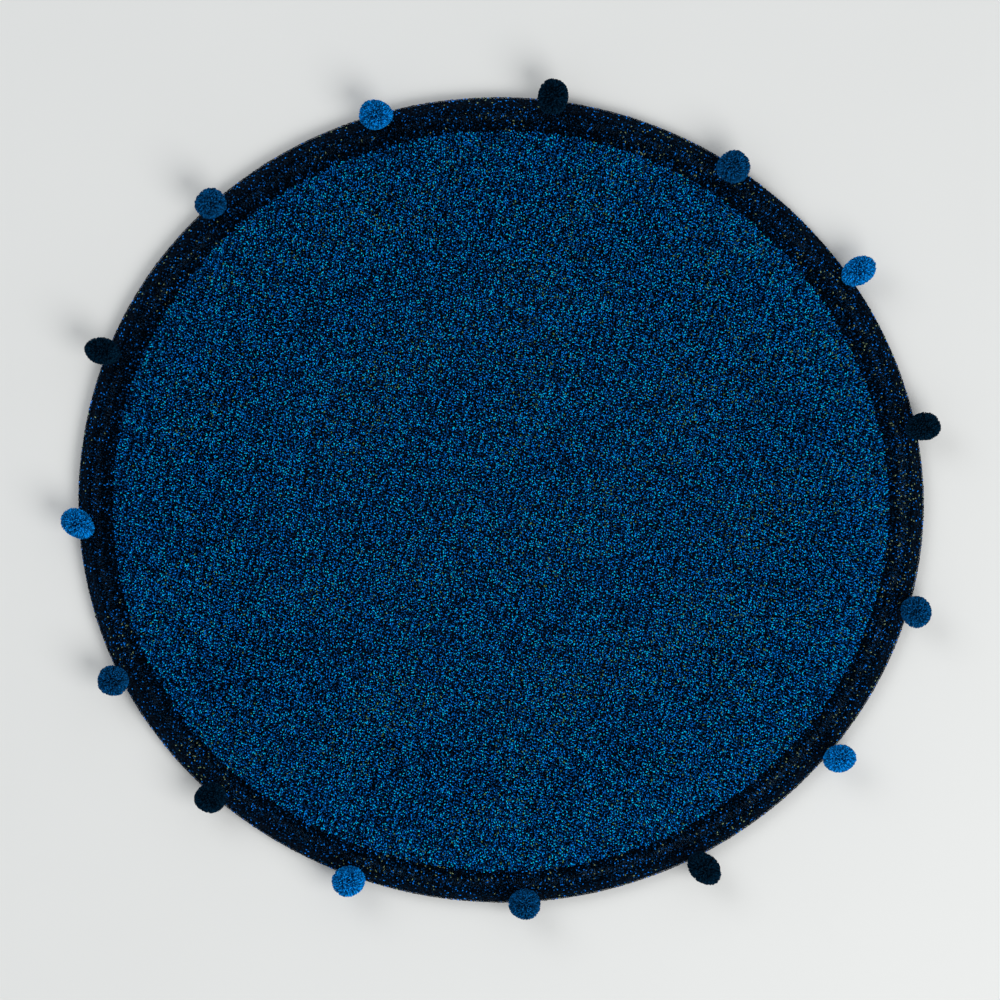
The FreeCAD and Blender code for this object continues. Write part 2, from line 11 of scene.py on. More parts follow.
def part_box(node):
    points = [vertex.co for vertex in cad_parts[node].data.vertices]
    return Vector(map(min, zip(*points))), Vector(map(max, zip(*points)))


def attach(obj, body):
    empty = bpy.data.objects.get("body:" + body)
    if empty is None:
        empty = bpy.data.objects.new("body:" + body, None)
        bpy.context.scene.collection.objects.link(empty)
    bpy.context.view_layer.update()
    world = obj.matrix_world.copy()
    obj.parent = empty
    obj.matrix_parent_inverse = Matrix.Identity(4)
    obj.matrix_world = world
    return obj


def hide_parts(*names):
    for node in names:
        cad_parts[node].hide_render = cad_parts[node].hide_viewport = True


# Looks of the seat cushion, in metres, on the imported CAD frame: real pile tufts on a cover that is
# swelled by cloth simulation, yarn pompoms, and a sewn, zipped underside.

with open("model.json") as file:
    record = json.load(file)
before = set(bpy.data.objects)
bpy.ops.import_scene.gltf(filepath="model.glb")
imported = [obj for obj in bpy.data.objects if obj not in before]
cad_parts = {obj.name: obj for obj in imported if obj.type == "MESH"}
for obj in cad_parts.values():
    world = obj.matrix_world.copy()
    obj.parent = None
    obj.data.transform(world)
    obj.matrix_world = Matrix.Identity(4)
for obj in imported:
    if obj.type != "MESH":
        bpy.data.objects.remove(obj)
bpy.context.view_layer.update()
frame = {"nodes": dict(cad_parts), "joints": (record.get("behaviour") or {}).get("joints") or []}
SCENE = bpy.context.scene
MM = 0.001


# ---------------------------------------------------------------- sizes, from the frame

def box(node):
    """The low and the high corner of a CAD node's box, as arrays."""
    low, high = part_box(node)
    return np.array(low), np.array(high)


FIELD_BOX = box("field_pile")
BORDER_BOX = box("border_pile")
PANEL_BOX = box("bottom_panel_front")
COIL_BOX = box("zip_coil_front")
TAPE_BOX = box("zip_tape_front")
LABEL_BOX = box("care_label")
BINDING_BOX = box("rim_binding")
TOPSTITCH_BOX = box("zip_topstitching")
RIM_THREAD_BOX = box("rim_seam_thread")

EDGE = BORDER_BOX[1][0]
NARROWING = BORDER_BOX[1][1] / BORDER_BOX[1][0]
PILE_SEAM_GAP = 0.4 * MM
SEAM_INSET = 1.1 * MM
SEAM = FIELD_BOX[1][0] + PILE_SEAM_GAP / 2 - SEAM_INSET
CROWN_TOP = FIELD_BOX[1][2]
PANEL_GAP = 0.15 * MM
ZIP_Y = PANEL_BOX[1][1] + PANEL_GAP

# The crown is the same curve as the CAD one: (radius at its edge, height there, height at the centre)
CROWN_POWER = 6
PILE_TIPS = (193 * MM, 6.05 * MM, CROWN_TOP)
PILE_ROOTS = (192 * MM, BORDER_BOX[0][2], 22.5 * MM)
ROOT_DEPTH = 0.5 * MM

# Hand-made unevenness, as (waves round the edge, height, phase in degrees)
OUTLINE_WAVES = ((2, 0.35 * MM, -86), (3, 0.3 * MM, -40), (5, 0.25 * MM, -28))
SEAM_WAVES = ((1, 0.9 * MM, -116), (2, 0.35 * MM, -105), (3, 0.5 * MM, -61), (5, 0.5 * MM, -23))

# Number of waves that cross to make a gentle random field
CROSSING_WAVES = 7


def crown(surface, radius):
    """Height of a crowned surface at an array of radii, level outside its edge."""
    edge_radius, edge_z, centre_z = surface
    part = np.minimum(radius / edge_radius, 1.0)
    return edge_z + (centre_z - edge_z) * (1 - part ** CROWN_POWER)


def oval_radius(x, y):
    """Distance from the middle, measured along the wide way of the oval through each place."""
    return np.hypot(x, y / NARROWING)


def waves(angle, parts):
    """Sum of a few waves round the edge, at an array of angles."""
    return sum(height * np.cos(count * angle - math.radians(phase)) for count, height, phase in parts)


def smooth_noise(x, y, seed, scale):
    """A gentle field of about -1 to 1, from a few crossing waves of about the given length."""
    rng = np.random.default_rng(seed)
    total = np.zeros_like(x)
    for _ in range(CROSSING_WAVES):
        heading = rng.uniform(0, 2 * math.pi)
        length = scale * rng.uniform(0.7, 1.5)
        phase = rng.uniform(0, 2 * math.pi)
        along = x * math.cos(heading) + y * math.sin(heading)
        total += np.sin(2 * math.pi * along / length + phase)
    return total / math.sqrt(CROSSING_WAVES)


def unit(vectors):
    """The vectors at length one."""
    return vectors / np.maximum(np.linalg.norm(vectors, axis=-1, keepdims=True), 1e-12)


def linear(rgb):
    """Linear colour from 0 to 255 display values."""
    c = np.asarray(rgb, dtype=float) / 255
    return np.where(c <= 0.04045, c / 12.92, ((c + 0.055) / 1.055) ** 2.4)


# ---------------------------------------------------------------- mesh building

def mesh_object(name, vertices, faces, smooth=True):
    """An object from an array of vertices and a list of face arrays, each of one corner count."""
    mesh = bpy.data.meshes.new(name)
    vertices = np.asarray(vertices, dtype=np.float32)
    corners = np.concatenate([f.ravel() for f in faces]).astype(np.int32)
    sizes = np.concatenate([np.full(len(f), f.shape[1]) for f in faces])
    starts = np.concatenate([[0], np.cumsum(sizes)[:-1]]).astype(np.int32)
    mesh.vertices.add(len(vertices))
    mesh.vertices.foreach_set("co", vertices.ravel())
    mesh.loops.add(len(corners))
    mesh.loops.foreach_set("vertex_index", corners)
    mesh.polygons.add(len(sizes))
    mesh.polygons.foreach_set("loop_start", starts)
    mesh.polygons.foreach_set("use_smooth", np.full(len(sizes), smooth))
    mesh.update(calc_edges=True)
    mesh.validate()
    obj = bpy.data.objects.new(name, mesh)
    SCENE.collection.objects.link(obj)
    return obj


def tube_arrays(spines, lateral, radii, sides):
    """Closed tubes: spines (tube, ring, xyz), a side direction per tube, radii (tube, ring)."""
    count, rings, _ = spines.shape
    tangent = unit(np.gradient(spines, axis=1))
    across = lateral[:, None, :] - tangent * np.sum(tangent * lateral[:, None, :], axis=-1, keepdims=True)
    across = unit(across)
    upward = np.cross(tangent, across)
    turn = 2 * math.pi * np.arange(sides) / sides
    ring = across[:, :, None, :] * np.cos(turn)[None, None, :, None]
    ring = ring + upward[:, :, None, :] * np.sin(turn)[None, None, :, None]
    points = spines[:, :, None, :] + ring * radii[:, :, None, None]
    index = np.arange(count * rings * sides).reshape(count, rings, sides)
    low = index[:, :-1, :]
    high = index[:, 1:, :]
    walls = np.stack([low, np.roll(low, -1, axis=2), np.roll(high, -1, axis=2), high], axis=-1)
    start_caps = index[:, 0, ::-1]
    end_caps = index[:, -1, :]
    return points.reshape(-1, 3), [walls.reshape(-1, 4), start_caps, end_caps]


def set_colour(obj, name, rgb):
    """Stores one linear colour per vertex."""
    layer = obj.data.color_attributes.new(name, "FLOAT_COLOR", "POINT")
    rgba = np.ones((len(rgb), 4), dtype=np.float32)
    rgba[:, :3] = rgb
    layer.data.foreach_set("color", rgba.ravel())


def set_tube_uv(obj, count, rings, sides):
    """Gives every tube a small cell of its own in a UV layer."""
    cells = math.ceil(math.sqrt(count))
    tube = np.arange(count)
    along = np.linspace(0.15, 0.85, rings)
    around = np.linspace(0.2, 0.8, sides)
    u = (tube % cells)[:, None, None] + around[None, None, :] + np.zeros((1, rings, 1))
    v = (tube // cells)[:, None, None] + along[None, :, None] + np.zeros((1, 1, sides))
    uv = np.stack([u.ravel(), v.ravel()], axis=-1) / cells
    corners = np.empty(len(obj.data.loops), dtype=np.int32)
    obj.data.loops.foreach_get("vertex_index", corners)
    layer = obj.data.uv_layers.new(name="OFBake")
    layer.data.foreach_set("uv", uv[corners].astype(np.float32).ravel())


def tube_object(name, spines, lateral, radii, sides, colours):
    """One object of many tubes, with a colour for each ring of each tube."""
    count, rings, _ = spines.shape
    vertices, faces = tube_arrays(spines, lateral, radii, sides)
    obj = mesh_object(name, vertices, faces)
    set_colour(obj, "yarn", np.repeat(colours.reshape(-1, 3), sides, axis=0))
    set_tube_uv(obj, count, rings, sides)
    return obj


def grid_faces(rows, columns, closed=False):
    """Quads of a grid of vertices, wrapped round along its columns if closed."""
    index = np.arange(rows * columns).reshape(rows, columns)
    nxt = np.roll(index, -1, axis=1)
    last = columns if closed else columns - 1
    quads = [index[:-1, :last], nxt[:-1, :last], nxt[1:, :last], index[1:, :last]]
    return np.stack(quads, axis=-1).reshape(-1, 4)


def lathe_object(name, radii, heights, steps, uneven=None):
    """A closed section turned round the oval. uneven(angle, radius) gives (radial, z) shifts."""
    angle = 2 * math.pi * np.arange(steps) / steps
    radii = np.asarray(radii)
    heights = np.asarray(heights)
    out = np.zeros((len(radii), steps)) + radii[:, None]
    z = np.zeros((len(radii), steps)) + heights[:, None]
    if uneven:
        shift_out, shift_z = uneven(angle[None, :], radii[:, None])
        out = out + shift_out
        z = z + shift_z
    vertices = np.stack([out * np.cos(angle), NARROWING * out * np.sin(angle), z], axis=-1)
    index = np.arange(len(radii) * steps).reshape(len(radii), steps)
    nxt = np.roll(index, -1, axis=1)
    below = np.roll(index, -1, axis=0)
    faces = np.stack([index, nxt, np.roll(below, -1, axis=1), below], axis=-1)
    return mesh_object(name, vertices.reshape(-1, 3), [faces.reshape(-1, 4)])


def swept_object(name, x, y, z):
    """A closed section carried along x. y and z are arrays of (station, place round the section)."""
    stations, count = y.shape
    vertices = np.stack([np.broadcast_to(x[:, None], y.shape), y, z], axis=-1).reshape(-1, 3)
    index = np.arange(stations * count).reshape(stations, count)
    faces = [grid_faces(stations, count, closed=True), index[:1, ::-1], index[-1:, :]]
    return mesh_object(name, vertices, faces)


def sheet_object(name, under, over):
    """A closed sheet between two grids of points, each an array of (row, column, xyz)."""
    rows, columns, _ = under.shape
    count = rows * columns
    lower = grid_faces(rows, columns)
    index = np.arange(count).reshape(rows, columns)
    loop = np.concatenate([index[0, :-1], index[:-1, -1], index[-1, :0:-1], index[:0:-1, 0]])
    ahead = np.roll(loop, -1)
    wall = np.stack([ahead, loop, loop + count, ahead + count], axis=-1)
    vertices = np.concatenate([under.reshape(-1, 3), over.reshape(-1, 3)])
    obj = mesh_object(name, vertices, [lower, lower[:, ::-1] + count, wall])
    form = bmesh.new()
    form.from_mesh(obj.data)
    bmesh.ops.recalc_face_normals(form, faces=form.faces)
    form.to_mesh(obj.data)
    form.free()
    return obj


def put(obj, material, body, slot, *stands_for):
    """Finishes a piece: its material, the body it rides on and what it stands for. slot is not used."""
    obj.data.materials.clear()
    obj.data.materials.append(material)
    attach(obj, body)
    if stands_for:
        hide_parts(*stands_for)
    return obj


# ---------------------------------------------------------------- materials

def new_material(name):
    """A new material, its node tree and its main shader."""
    material = bpy.data.materials.new(name)
    material.use_nodes = True
    tree = material.node_tree
    return material, tree, tree.nodes["Principled BSDF"]


def add_node(tree, kind, **values):
    """A new node, with the given inputs and settings."""
    node = tree.nodes.new(kind)
    for key, value in values.items():
        if key in node.inputs:
            node.inputs[key].default_value = value
        else:
            setattr(node, key, value)
    return node


def object_coordinates(tree):
    """Places in the piece's own frame, so that a pattern rides with its piece."""
    return add_node(tree, "ShaderNodeTexCoord").outputs["Object"]


def noise(tree, scale, detail=3.0):
    """A cloudy random value from 0 to 1, finer with a larger scale."""
    node = add_node(tree, "ShaderNodeTexNoise", Scale=scale, Detail=detail)
    tree.links.new(object_coordinates(tree), node.inputs["Vector"])
    return node.outputs["Fac"]


def ramp(tree, source, low, high):
    """Maps a 0 to 1 value onto a range."""
    node = add_node(tree, "ShaderNodeMapRange")
    node.inputs["To Min"].default_value = low
    node.inputs["To Max"].default_value = high
    tree.links.new(source, node.inputs["Value"])
    return node.outputs["Result"]


def multiply_colour(tree, colour, factor):
    """A colour output times a value output."""
    node = add_node(tree, "ShaderNodeVectorMath", operation="SCALE")
    tree.links.new(colour, node.inputs[0])
    tree.links.new(factor, node.inputs["Scale"])
    return node.outputs["Vector"]


def bump(tree, shader, height, strength, distance):
    """Shades the surface as if it were raised by a height value."""
    node = add_node(tree, "ShaderNodeBump", Strength=strength, Distance=distance)
    tree.links.new(height, node.inputs["Height"])
    tree.links.new(node.outputs["Normal"], shader.inputs["Normal"])


def yarn_material(name, sheen=0.02):
    """Fibrous yarn: colour from the tufts themselves, with fine fibres and a soft sheen."""
    material, tree, shader = new_material(name)
    colour = add_node(tree, "ShaderNodeAttribute", attribute_name="yarn").outputs["Color"]
    fibres = noise(tree, 2600.0, 4.0)
    varied = multiply_colour(tree, colour, ramp(tree, fibres, 0.55, 1.45))
    tree.links.new(varied, shader.inputs["Base Color"])
    shader.inputs["Roughness"].default_value = 0.9
    shader.inputs["Specular IOR Level"].default_value = 0.0
    shader.inputs["Sheen Weight"].default_value = sheen
    shader.inputs["Sheen Roughness"].default_value = 0.4
    shader.inputs["Sheen Tint"].default_value = (0.1, 0.45, 1.0, 1.0)
    return material


def weave_material(name, rgb, threads_per_mm=1.1, contrast=0.35, twill=False, roughness=0.85):
    """Woven cloth: two crossing sets of threads, shaded, raised and slightly uneven in colour."""
    material, tree, shader = new_material(name)
    coordinates = object_coordinates(tree)
    split = add_node(tree, "ShaderNodeSeparateXYZ")
    tree.links.new(coordinates, split.inputs[0])
    turns = threads_per_mm / MM * math.pi

    def threads(axis_a, axis_b, slant):
        shifted = add_node(tree, "ShaderNodeMath", operation="MULTIPLY_ADD")
        tree.links.new(split.outputs[axis_b], shifted.inputs[0])
        shifted.inputs[1].default_value = slant
        tree.links.new(split.outputs[axis_a], shifted.inputs[2])
        scaled = add_node(tree, "ShaderNodeMath", operation="MULTIPLY")
        tree.links.new(shifted.outputs[0], scaled.inputs[0])
        scaled.inputs[1].default_value = turns
        wave = add_node(tree, "ShaderNodeMath", operation="SINE")
        tree.links.new(scaled.outputs[0], wave.inputs[0])
        size = add_node(tree, "ShaderNodeMath", operation="ABSOLUTE")
        tree.links.new(wave.outputs[0], size.inputs[0])
        return wave.outputs[0], size.outputs[0]

    slant = 0.8 if twill else 0.0
    wave_x, size_x = threads("X", "Y", slant)
    wave_y, size_y = threads("Y", "X", 0.0)
    product = add_node(tree, "ShaderNodeMath", operation="MULTIPLY")
    tree.links.new(wave_x, product.inputs[0])
    tree.links.new(wave_y, product.inputs[1])
    over = add_node(tree, "ShaderNodeMath", operation="GREATER_THAN")
    tree.links.new(product.outputs[0], over.inputs[0])
    over.inputs[1].default_value = 0.0
    height = add_node(tree, "ShaderNodeMix", data_type="FLOAT")
    tree.links.new(over.outputs[0], height.inputs["Factor"])
    tree.links.new(size_x, height.inputs["A"])
    tree.links.new(size_y, height.inputs["B"])
    weave = height.outputs["Result"]
    colour = add_node(tree, "ShaderNodeRGB")
    colour.outputs[0].default_value = (*linear(rgb), 1.0)
    threads_shade = ramp(tree, weave, 1.0 - contrast, 1.0 + contrast)
    cloud = ramp(tree, noise(tree, 90.0), 0.8, 1.2)
    fluff = ramp(tree, noise(tree, 1500.0), 0.75, 1.25)
    result = multiply_colour(tree, colour.outputs[0], threads_shade)
    result = multiply_colour(tree, result, cloud)
    result = multiply_colour(tree, result, fluff)
    tree.links.new(result, shader.inputs["Base Color"])
    tree.links.new(ramp(tree, weave, roughness + 0.1, roughness - 0.1), shader.inputs["Roughness"])
    shader.inputs["Specular IOR Level"].default_value = 0.1
    shader.inputs["Sheen Weight"].default_value = 0.1
    shader.inputs["Sheen Tint"].default_value = (*(linear(rgb) / linear(rgb).max()), 1.0)
    bump(tree, shader, weave, 0.7, 0.25 * MM)
    return material


def mottled_material(name, rgb, scale, roughness, depth, metallic=0.0, spread=0.2):
    """A moulded, cast, foamed or felted surface with clouded colour, roughness and grain."""
    material, tree, shader = new_material(name)
    grain = noise(tree, scale, 5.0)
    colour = add_node(tree, "ShaderNodeRGB")
    colour.outputs[0].default_value = (*linear(rgb), 1.0)
    result = multiply_colour(tree, colour.outputs[0], ramp(tree, grain, 1 - spread, 1 + spread))
    tree.links.new(result, shader.inputs["Base Color"])
    tree.links.new(ramp(tree, grain, roughness - 0.12, roughness + 0.12), shader.inputs["Roughness"])
    shader.inputs["Metallic"].default_value = metallic
    bump(tree, shader, grain, 0.4, depth)
    return material


PILE = yarn_material("pile_yarn")
POMPOM_YARN = yarn_material("pompom_yarn", sheen=0.06)
CANVAS = weave_material("underside_canvas", (62, 84, 108), threads_per_mm=0.9)
BACKING = weave_material("backing_cloth", (1, 9, 20), threads_per_mm=0.7)
LINER = weave_material("liner_cotton", (205, 200, 188), threads_per_mm=2.0, contrast=0.12)
BINDING = weave_material("binding_twill", (8, 16, 28), threads_per_mm=1.6, twill=True)
TAPE = weave_material("zip_tape_weave", (28, 42, 60), threads_per_mm=2.2, twill=True)
LABEL = weave_material("label_satin", (214, 214, 208), threads_per_mm=3.0, contrast=0.1, roughness=0.5)
THREAD = yarn_material("sewing_thread", sheen=0.1)
CAD_THREAD = weave_material("twisted_thread", (24, 44, 66), threads_per_mm=2.5, twill=True)
NYLON = mottled_material("zip_nylon", (30, 46, 66), 900.0, 0.38, 0.02 * MM)
METAL = mottled_material("dark_nickel", (96, 98, 104), 500.0, 0.3, 0.01 * MM, metallic=1.0, spread=0.15)
SILICONE = mottled_material("silicone", (70, 84, 100), 700.0, 0.55, 0.03 * MM)
FOAM = mottled_material("open_cell_foam", (222, 212, 182), 700.0, 0.9, 0.4 * MM)
WADDING = mottled_material("fibre_wadding", (238, 238, 234), 260.0, 0.95, 0.8 * MM)


# ---------------------------------------------------------------- cover, by cloth simulation

COVER_REACH = 198 * MM
COVER_SINK = 1.4 * MM
COVER_VOXEL = 5 * MM
COVER_CAP = 2.6 * MM
COVER_FLOOR = 2.6 * MM
COVER_THICKNESS = 0.5 * MM
COVER_STATIONS = 40
COVER_STEPS = 180
COVER_FRAMES = 20
PINNED_RADIUS = 188 * MM


def cover_blank():
    """The closed pad form that is swelled: crowned above, flat below."""
    stations = np.linspace(0.001, 1.0, COVER_STATIONS)
    top_r = stations * COVER_REACH
    top_z = crown(PILE_ROOTS, top_r) - COVER_SINK
    top_z = np.maximum(top_z, COVER_FLOOR + 0.4 * MM)
    bottom_r = stations[::-1] * (COVER_REACH - 1 * MM)
    bottom_z = np.full(len(bottom_r), COVER_FLOOR - 3 * MM)
    radii = np.concatenate([top_r, bottom_r])
    heights = np.concatenate([top_z, bottom_z])
    return lathe_object("cover_blank", radii, heights, COVER_STEPS)


def evaluated_mesh(obj):
    """A new mesh of the object as its modifiers leave it."""
    depsgraph = bpy.context.evaluated_depsgraph_get()
    return bpy.data.meshes.new_from_object(obj.evaluated_get(depsgraph))


def positions(mesh):
    """The places of a mesh's vertices, as an array."""
    values = np.empty(len(mesh.vertices) * 3, dtype=np.float32)
    mesh.vertices.foreach_get("co", values)
    return values.reshape(-1, 3).astype(float)


def swell(obj):
    """Cloth simulation with pressure, held at the rim and below, and capped."""
    start = positions(obj.data)
    held = (oval_radius(start[:, 0], start[:, 1]) > PINNED_RADIUS) | (start[:, 2] < COVER_FLOOR)
    group = obj.vertex_groups.new(name="held")
    group.add([int(i) for i in np.nonzero(held)[0]], 1.0, "ADD")
    cloth = obj.modifiers.new("swell", "CLOTH")
    cloth.settings.quality = 5
    cloth.settings.mass = 0.3
    cloth.settings.tension_stiffness = 15
    cloth.settings.compression_stiffness = 15
    cloth.settings.bending_stiffness = 0.4
    cloth.settings.use_pressure = True
    cloth.settings.uniform_pressure_force = 4
    cloth.settings.vertex_group_mass = "held"
    cloth.settings.effector_weights.gravity = 0
    cloth.collision_settings.use_self_collision = False
    for number in range(1, COVER_FRAMES + 1):
        SCENE.frame_set(number)
    mesh = evaluated_mesh(obj)
    moved = positions(mesh) - start
    moved[:, 2] = np.maximum(moved[:, 2], 0)
    length = np.linalg.norm(moved, axis=1, keepdims=True)
    moved = moved * np.minimum(1.0, COVER_CAP / np.maximum(length, 1e-9))
    mesh.vertices.foreach_set("co", (start + moved).astype(np.float32).ravel())
    obj.modifiers.clear()
    obj.data = mesh
    SCENE.frame_set(1)


def cover():
    """The backing cloth of the top, on which the pile stands, as one sheet."""
    blank = cover_blank()
    remesh = blank.modifiers.new("remesh", "REMESH")
    remesh.mode = "VOXEL"
    remesh.voxel_size = COVER_VOXEL
    mesh = evaluated_mesh(blank)
    bpy.data.objects.remove(blank)
    obj = bpy.data.objects.new("cover_backing", mesh)
    SCENE.collection.objects.link(obj)
    swell(obj)
    form = bmesh.new()
    form.from_mesh(obj.data)
    low = [v for v in form.verts if v.co.z < COVER_FLOOR]
    bmesh.ops.delete(form, geom=low, context="VERTS")
    form.to_mesh(obj.data)
    form.free()
    for polygon in obj.data.polygons:
        polygon.use_smooth = True
    smooth = obj.modifiers.new("smooth", "SUBSURF")
    smooth.levels = 1
    smooth.render_levels = 1
    thick = obj.modifiers.new("thickness", "SOLIDIFY")
    thick.thickness = COVER_THICKNESS
    obj.data = evaluated_mesh(obj)
    obj.modifiers.clear()
    return put(obj, BACKING, "pad", "backing_cloth", "field_backing_cloth", "border_backing_cloth")


# ---------------------------------------------------------------- pile

TUFT_PITCH = 0.88 * MM
ROW_RATIO = 0.866
SITE_JITTER = 0.2 * TUFT_PITCH
TUFT_SIDES = 3
TUFT_RINGS = 4
TUFT_RADIUS = 0.22 * MM
LOOP_RADIUS = 0.32 * MM

# Thickness of a tuft and its painted shading at each of its rings, from the root up: painted shade at the
# root and painted light on the top of the curl
TUFT_TAPER = (0.85, 1.05, 1.1, 0.8)
TUFT_PAINTED_SHADING = (0.0, 0.65, 1.0, 0.9)

FIELD_SECTORS = 18
BORDER_SECTORS = 4
PILE_REACH = 199.2 * MM
BASE_INNER_RADIUS = 195 * MM
BASE_STEPS = 720
BRIGHTNESS = 1.84

# Shades of the yarn, as (display colour, share of the tufts)
FIELD_SHADES = (
    ((0, 12, 26), 0.25),
    ((1, 38, 72), 0.24),
    ((2, 66, 124), 0.22),
    ((3, 102, 190), 0.15),
    ((6, 148, 255), 0.125),
    ((70, 104, 66), 0.015),
)
BORDER_SHADES = (
    ((1, 3, 6), 0.4),
    ((1, 12, 24), 0.27),
    ((2, 30, 54), 0.17),
    ((6, 56, 104), 0.09),
    ((10, 98, 190), 0.05),
    ((96, 112, 84), 0.02),
)
# Share of its colour that a tuft keeps at the root, under the painted shade
ROOT_PAINTED_SHADE = 0.3

# Steps of the shade lots along a row and from row to row, and how loosely they are kept
LOT_STEPS = (0.7549, 0.5698)
LOT_JITTER = 0.2

# Distance between the tufts of the row along the edge, in tuft pitches
EDGE_ROW_SPACING = 0.6

# The pile turns outward over the rim
RIM_TURN = 196 * MM
RIM_TILT = 0.55
RIM_SHORTENING = 0.35

# How much a tuft follows the slope under it, and its shortest height
SLOPE_FOLLOWING = 0.6
SHORTEST_TUFT = 1.1 * MM

# The joining line: how loosely the tufts keep to it, and the groove along it
SEAM_LOOSENESS = 0.2 * MM
GROOVE_DEPTH = 0.12
GROOVE_WIDTH = 1.0 * MM

# How far the tufts' lean strays, in radians, on the top and over the rim
LEAN_SPREAD = 0.55
RIM_LEAN_SPREAD = 0.3


def pick_shades(shades, lot, drift):
    """One colour per tuft, by its lot from 0 to 1. drift shifts the choice along the list of shades."""
    shares = np.cumsum([share for _, share in shades])
    draw = np.clip(lot + drift, 0, 0.9999) * shares[-1]
    index = np.searchsorted(shares, draw)
    palette = np.array([linear(colour) for colour, _ in shades])
    return palette[index]


def tuft_sites():
    """Staggered, jittered places for every tuft of the pad, and the lot that picks its shade.

    The lots are spread so that neighbours differ: the pile is speckled finely, without blotches.
    One even row of tufts follows the very edge, so that the outline is clean."""
    rng = np.random.default_rng(11)
    rows = int(EDGE / (TUFT_PITCH * ROW_RATIO)) + 2
    columns = int(EDGE / TUFT_PITCH) + 2
    row, column = np.meshgrid(np.arange(-rows, rows + 1), np.arange(-columns, columns + 1), indexing="ij")
    x = (column + 0.5 * (row % 2)).ravel() * TUFT_PITCH
    y = row.ravel() * TUFT_PITCH * ROW_RATIO
    x = x + rng.normal(0, SITE_JITTER, x.shape)
    y = y + rng.normal(0, SITE_JITTER, y.shape)
    lot = (column * LOT_STEPS[0] + row * LOT_STEPS[1]).ravel()
    lot = lot + rng.uniform(-LOT_JITTER, LOT_JITTER, x.shape)
    angle = np.arctan2(y / NARROWING, x)
    reach = PILE_REACH + waves(angle, OUTLINE_WAVES)
    keep = oval_radius(x, y) < reach - 0.5 * TUFT_PITCH
    edge_count = int(2 * math.pi * EDGE / (EDGE_ROW_SPACING * TUFT_PITCH))
    edge_angle = 2 * math.pi * np.arange(edge_count) / edge_count
    edge_reach = PILE_REACH + waves(edge_angle, OUTLINE_WAVES)
    edge_reach = edge_reach - rng.uniform(0, 0.1 * TUFT_PITCH, edge_count)
    x = np.concatenate([x[keep], edge_reach * np.cos(edge_angle)])
    y = np.concatenate([y[keep], edge_reach * np.sin(edge_angle) * NARROWING])
    lot = np.concatenate([lot[keep], rng.random(edge_count)])
    return x, y, np.arctan2(y / NARROWING, x), oval_radius(x, y), lot % 1.0


def cover_heights(cover_obj, x, y):
    """Height of the cover under each tuft, or of the plain root surface beyond its edge."""
    tree = BVHTree.FromObject(cover_obj, bpy.context.evaluated_depsgraph_get())
    down = Vector((0, 0, -1))
    plain = crown(PILE_ROOTS, oval_radius(x, y))
    heights = plain.copy()
    for i in range(len(x)):
        place, _, _, _ = tree.ray_cast(Vector((x[i], y[i], 0.1)), down)
        if place is not None and place.z > COVER_FLOOR:
            heights[i] = place.z
    return heights


def over_rim(radius):
    """0 on the top, and from 0 to 1 from where the pile turns over the rim to the outer edge."""
    return np.clip((radius - RIM_TURN) / (EDGE - RIM_TURN), 0, 1)


def tuft_spines(x, y, z, radius, height, lean, rng):
    """A stalk that rises and curls over in its lean direction, for each tuft."""
    count = len(x)
    step = 0.5 * MM
    slope = (crown(PILE_TIPS, radius + step) - crown(PILE_TIPS, radius - step)) / (2 * step)
    rim = over_rim(radius)
    tilt = -slope * SLOPE_FOLLOWING + rim * RIM_TILT
    out_x = x / np.maximum(radius, 1e-6)
    out_y = y / (NARROWING ** 2) / np.maximum(radius, 1e-6)
    up = unit(np.stack([tilt * out_x, tilt * out_y, np.ones(count)], axis=-1))
    side_lean = np.stack([np.cos(lean), np.sin(lean), np.zeros(count)], axis=-1)
    side_lean = unit(side_lean - up * np.sum(up * side_lean, axis=-1, keepdims=True))
    loop = LOOP_RADIUS * rng.uniform(0.75, 1.3, count)
    bend = np.radians(rng.uniform(115, 175, count))
    stalk = np.maximum(height - loop, 0.4 * MM) + ROOT_DEPTH
    base = np.stack([x, y, z - ROOT_DEPTH], axis=-1)
    turns = np.linspace(0, 1, TUFT_RINGS - 1)
    arc = bend[:, None] * turns[None, :]
    rise = stalk[:, None] + loop[:, None] * np.sin(arc)
    shift = loop[:, None] * (1 - np.cos(arc))
    rise = np.concatenate([np.zeros((count, 1)), rise], axis=1)
    shift = np.concatenate([np.zeros((count, 1)), shift], axis=1)
    spines = base[:, None, :] + up[:, None, :] * rise[..., None] + side_lean[:, None, :] * shift[..., None]
    return spines, np.cross(up, side_lean)


def tuft_colours(shade, rng, brightness):
    """The colour of each tuft at each of its rings, with painted shade dark at the root and painted light on
    the top of the curl.
    """
    # Painted shade at the root and painted light on the top of each curl
    factor = ROOT_PAINTED_SHADE + (1 - ROOT_PAINTED_SHADE) * np.array(TUFT_PAINTED_SHADING)
    wear = rng.uniform(0.8, 1.25, (len(shade), 1, 1))
    return np.clip(shade[:, None, :] * factor[None, :, None] * wear * brightness, 0, 0.9)


def pile_base():
    """The matted foot of the border's pile, which closes the rim below the tufts."""
    low = PILE_ROOTS[1] - 0.3 * MM
    high = PILE_ROOTS[1] + 0.9 * MM
    outer = PILE_REACH + 0.45 * MM
    chamfer = 0.4 * MM
    section = (
        (BASE_INNER_RADIUS, low), (outer - chamfer, low), (outer, low + chamfer),
        (outer, high - chamfer), (outer - chamfer, high), (BASE_INNER_RADIUS, high),
    )

    def uneven(angle, radius):
        return waves(angle, OUTLINE_WAVES) * (radius > RIM_TURN), 0 * radius

    radii, heights = zip(*section)
    obj = lathe_object("border_pile_base", radii, heights, BASE_STEPS, uneven)
    return put(obj, BACKING, "pad", "backing_cloth")


